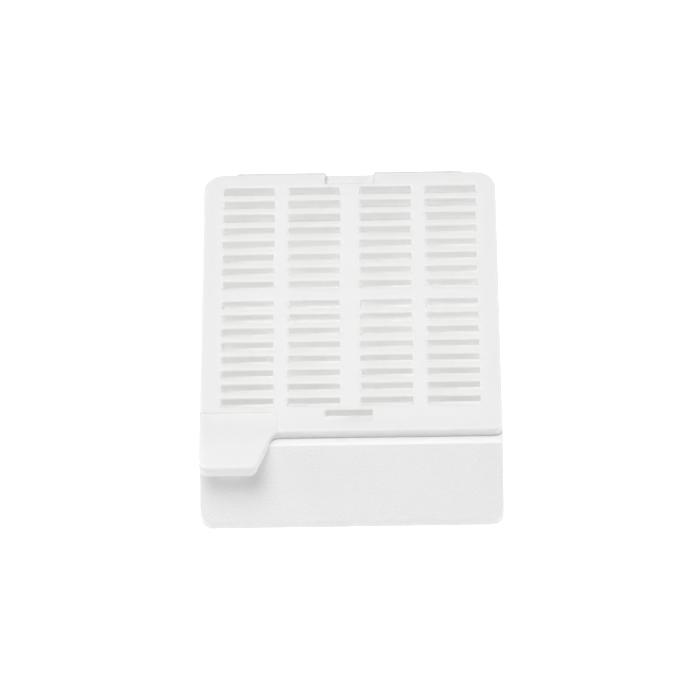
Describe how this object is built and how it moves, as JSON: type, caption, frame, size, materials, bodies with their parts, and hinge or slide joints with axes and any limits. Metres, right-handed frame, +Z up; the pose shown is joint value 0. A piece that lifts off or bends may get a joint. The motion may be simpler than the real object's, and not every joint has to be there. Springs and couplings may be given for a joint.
{
  "type": "tissue cassette",
  "caption": "Slotted plastic specimen cassette with a hinged slotted lid, finger tab and slanted writing face, shut.",
  "frame": {"origin": "middle of the outline, on the surface the tray rests on, hinge straps included", "axes": "+X to the right seen from the front, +Y from the slanted writing face to the hinge, +Z up through the lid"},
  "size_m": [0.0286, 0.0412, 0.0069],
  "materials": {
    "acetal": "satin white moulded acetal, fine spark-eroded grain on the writing face"
  },
  "bodies": {
    "tray": {"base": "acetal", "hinge_strap_left": "acetal", "hinge_strap_right": "acetal"},
    "cover": {"lid": "acetal"}
  },
  "joints": [
    {"name": "lid_hinge", "type": "hinge", "parent": "tray", "child": "cover", "pos_m": [0, 0.0203, 0.00594], "axis": [-1, 0, 0], "range_deg": [0, 175], "deforming": ["hinge_strap_left", "hinge_strap_right"]}
  ]
}
